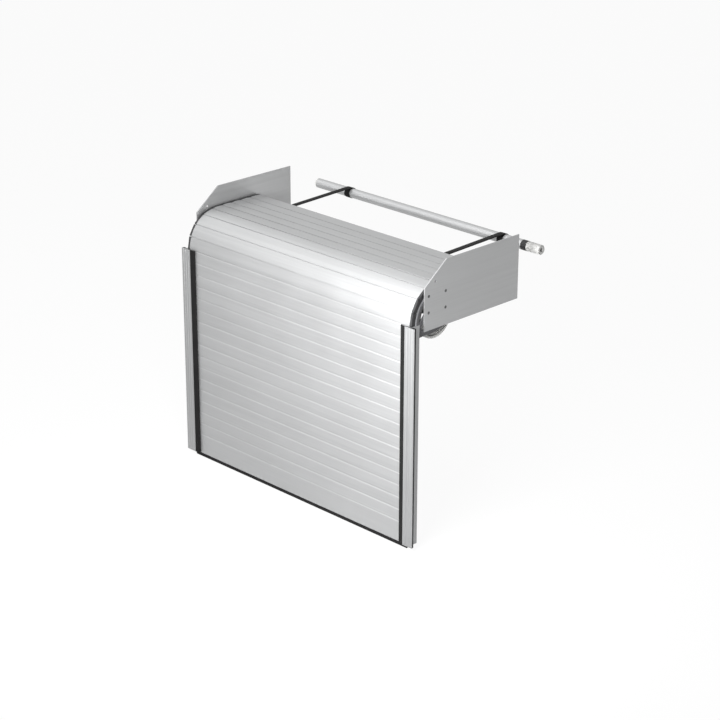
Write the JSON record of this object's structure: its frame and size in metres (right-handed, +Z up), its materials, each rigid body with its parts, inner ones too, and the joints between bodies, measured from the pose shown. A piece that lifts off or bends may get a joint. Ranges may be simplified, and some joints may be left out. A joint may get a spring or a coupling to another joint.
{
  "type": "roller shutter",
  "caption": "Slatted roller shutter whose curtain rises in side rails, turns rearwards over bend tracks and is drawn flat by straps on a spring roller.",
  "frame": {"origin": "at the sill, midway between the rails, on the plane of the curtain's outer face", "axes": "+X to the right, +Y to the rear, +Z up"},
  "size_m": [0.91, 0.5288, 0.791],
  "materials": {
    "slat_aluminium": "satin, light silver",
    "rail_aluminium": "satin extrusion",
    "plate_steel": "bare sheet",
    "shoe_plastic": "matte black",
    "track_plastic": "matte dark grey",
    "rubber_black": "matte black",
    "wheel_plastic": "matte white",
    "screw_steel": "zinc plated",
    "tube_aluminium": "satin",
    "collar_plastic": "satin black",
    "bearing_plastic": "matte white",
    "spring_steel": "oiled",
    "strap_fabric": "woven black"
  },
  "bodies": {
    "frame": {"guide_rail_left": "rail_aluminium", "guide_rail_right": "rail_aluminium", "lip_seal_left": "rubber_black", "lip_seal_right": "rubber_black", "body_gasket_left": "rubber_black", "body_gasket_right": "rubber_black", "side_plate_left": "plate_steel", "side_plate_right": "plate_steel", "bend_track_left": "track_plastic", "bend_track_right": "track_plastic", "plate_screws": "screw_steel", "lug_screws": "screw_steel", "wheel_axles": "screw_steel", "wheel_clips": "screw_steel", "roller_spindle": "screw_steel", "end_bearing_left": "bearing_plastic", "end_bearing_right": "bearing_plastic", "torsion_spring": "spring_steel", "spring_anchor_fixed": "bearing_plastic", "strap_runs": "strap_fabric"},
    "curtain_lower": {"bottom_bar": "slat_aluminium", "bottom_seal": "rubber_black", "slat_01": "slat_aluminium", "slat_02": "slat_aluminium", "slat_03": "slat_aluminium", "slat_04": "slat_aluminium", "slat_05": "slat_aluminium", "slat_06": "slat_aluminium", "slat_07": "slat_aluminium", "slat_08": "slat_aluminium", "slat_09": "slat_aluminium", "slat_10": "slat_aluminium", "slat_11": "slat_aluminium", "slat_12": "slat_aluminium", "slat_13": "slat_aluminium", "slat_14": "slat_aluminium", "slat_15": "slat_aluminium", "shoes_rising": "shoe_plastic"},
    "entry_slat": {"slat_16": "slat_aluminium", "shoes_entry": "shoe_plastic"},
    "curtain_bend": {"slat_17": "slat_aluminium", "slat_18": "slat_aluminium", "shoes_bend": "shoe_plastic"},
    "exit_slat_low": {"slat_19": "slat_aluminium", "shoes_exit_low": "shoe_plastic"},
    "exit_slat_mid": {"slat_20": "slat_aluminium", "shoes_exit_mid": "shoe_plastic"},
    "exit_slat_top": {"slat_21": "slat_aluminium", "shoes_exit_top": "shoe_plastic"},
    "curtain_upper": {"slat_22": "slat_aluminium", "slat_23": "slat_aluminium", "slat_24": "slat_aluminium", "slat_25": "slat_aluminium", "shoes_flat": "shoe_plastic"},
    "roller": {"roller_tube": "tube_aluminium", "roller_collar": "collar_plastic", "spring_anchor_turning": "bearing_plastic", "strap_windings": "strap_fabric"},
    "guide_wheel_left": {"guide_wheel_left": "wheel_plastic"},
    "guide_wheel_right": {"guide_wheel_right": "wheel_plastic"}
  },
  "joints": [
    {"name": "curtain_lift", "type": "slide", "parent": "frame", "child": "curtain_lower", "axis": [0, 0, 1], "range_m": [0, 0.035]},
    {"name": "entry_slat_swing", "type": "hinge", "parent": "frame", "child": "entry_slat", "pos_m": [0, 0.19877, 0.602], "axis": [-1, 0, 0], "range_deg": [0, 10.34]},
    {"name": "curtain_bend_swing", "type": "hinge", "parent": "frame", "child": "curtain_bend", "pos_m": [0, 0.1028, 0.6195], "axis": [-1, 0, 0], "range_deg": [0, 20.67]},
    {"name": "exit_slat_low_swing", "type": "hinge", "parent": "frame", "child": "exit_slat_low", "pos_m": [0, 0.09799, 0.62558], "axis": [-1, 0, 0], "range_deg": [0, 22.44]},
    {"name": "exit_slat_mid_swing", "type": "hinge", "parent": "frame", "child": "exit_slat_mid", "pos_m": [0, 0.11626, 0.56139], "axis": [-1, 0, 0], "range_deg": [0, 12.89]},
    {"name": "exit_slat_top_swing", "type": "hinge", "parent": "frame", "child": "exit_slat_top", "pos_m": [0, 0.14313, 0.04875], "axis": [-1, 0, 0], "range_deg": [0, 3]},
    {"name": "curtain_upper_slide", "type": "slide", "parent": "frame", "child": "curtain_upper", "axis": [0, 1, 0], "range_m": [0, 0.035], "deforming": ["strap_runs"]},
    {"name": "roller_turn", "type": "hinge", "parent": "frame", "child": "roller", "pos_m": [0, 0.505, 0.7067], "axis": [-1, 0, 0], "range_deg": [0, 120.09]},
    {"name": "guide_wheel_left_spin", "type": "hinge", "parent": "frame", "child": "guide_wheel_left", "pos_m": [0, 0.1028, 0.6195], "axis": [1, 0, 0], "continuous": true},
    {"name": "guide_wheel_right_spin", "type": "hinge", "parent": "frame", "child": "guide_wheel_right", "pos_m": [0, 0.1028, 0.6195], "axis": [1, 0, 0], "continuous": true}
  ],
  "couplings": [
    {"joint": "entry_slat_swing", "follows": "curtain_lift", "rad_per_m": 5.1535},
    {"joint": "curtain_bend_swing", "follows": "curtain_lift", "rad_per_m": 10.307},
    {"joint": "exit_slat_low_swing", "follows": "curtain_lift", "rad_per_m": 11.19},
    {"joint": "exit_slat_mid_swing", "follows": "curtain_lift", "rad_per_m": 6.4263},
    {"joint": "exit_slat_top_swing", "follows": "curtain_lift", "rad_per_m": 1.496},
    {"joint": "curtain_upper_slide", "follows": "curtain_lift", "ratio": 1},
    {"joint": "roller_turn", "follows": "curtain_lift", "rad_per_m": 59.88}
  ]
}
